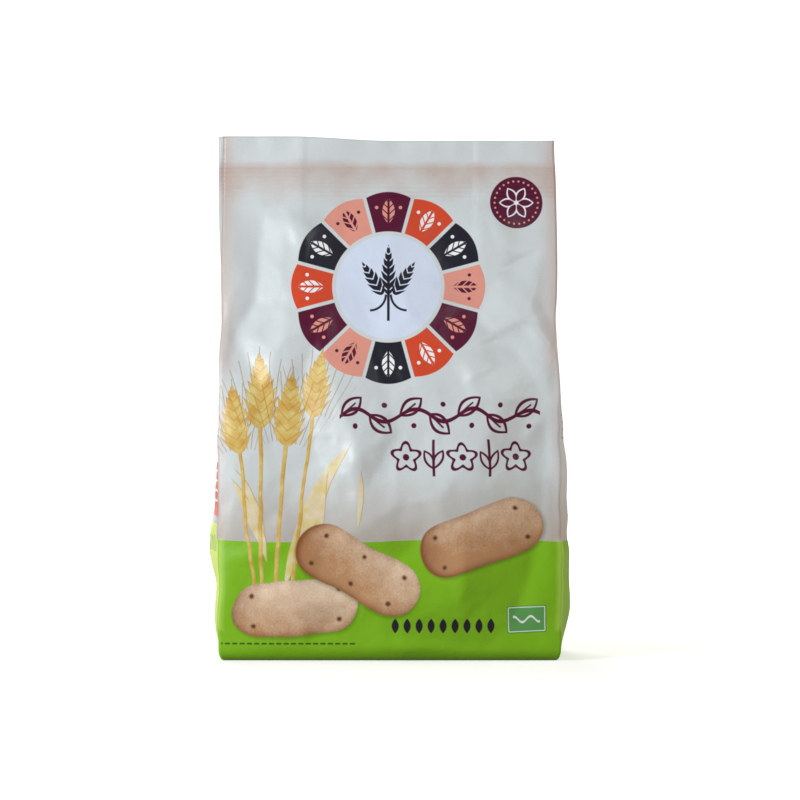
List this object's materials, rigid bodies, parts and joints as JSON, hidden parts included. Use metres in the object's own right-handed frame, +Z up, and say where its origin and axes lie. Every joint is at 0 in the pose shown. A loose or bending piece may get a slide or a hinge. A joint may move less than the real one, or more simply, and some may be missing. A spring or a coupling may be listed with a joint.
{
  "type": "gusseted biscuit bag",
  "caption": "Shut, upright, side-gusseted film bag filled with biscuits, with a flat folded base, a ribbed top seal and a printed front.",
  "frame": {"origin": "middle of the base, on the surface the bag stands on", "axes": "+Z up from the base to the cut edge, -Y out of the printed front panel, +X to the right of the front panel as it is read"},
  "size_m": [0.1548, 0.08, 0.224],
  "materials": {
    "film": "satin laminated film, pale grey with a green lower band and printed shapes"
  },
  "bodies": {
    "root": {"bag": "film"}
  },
  "joints": []
}
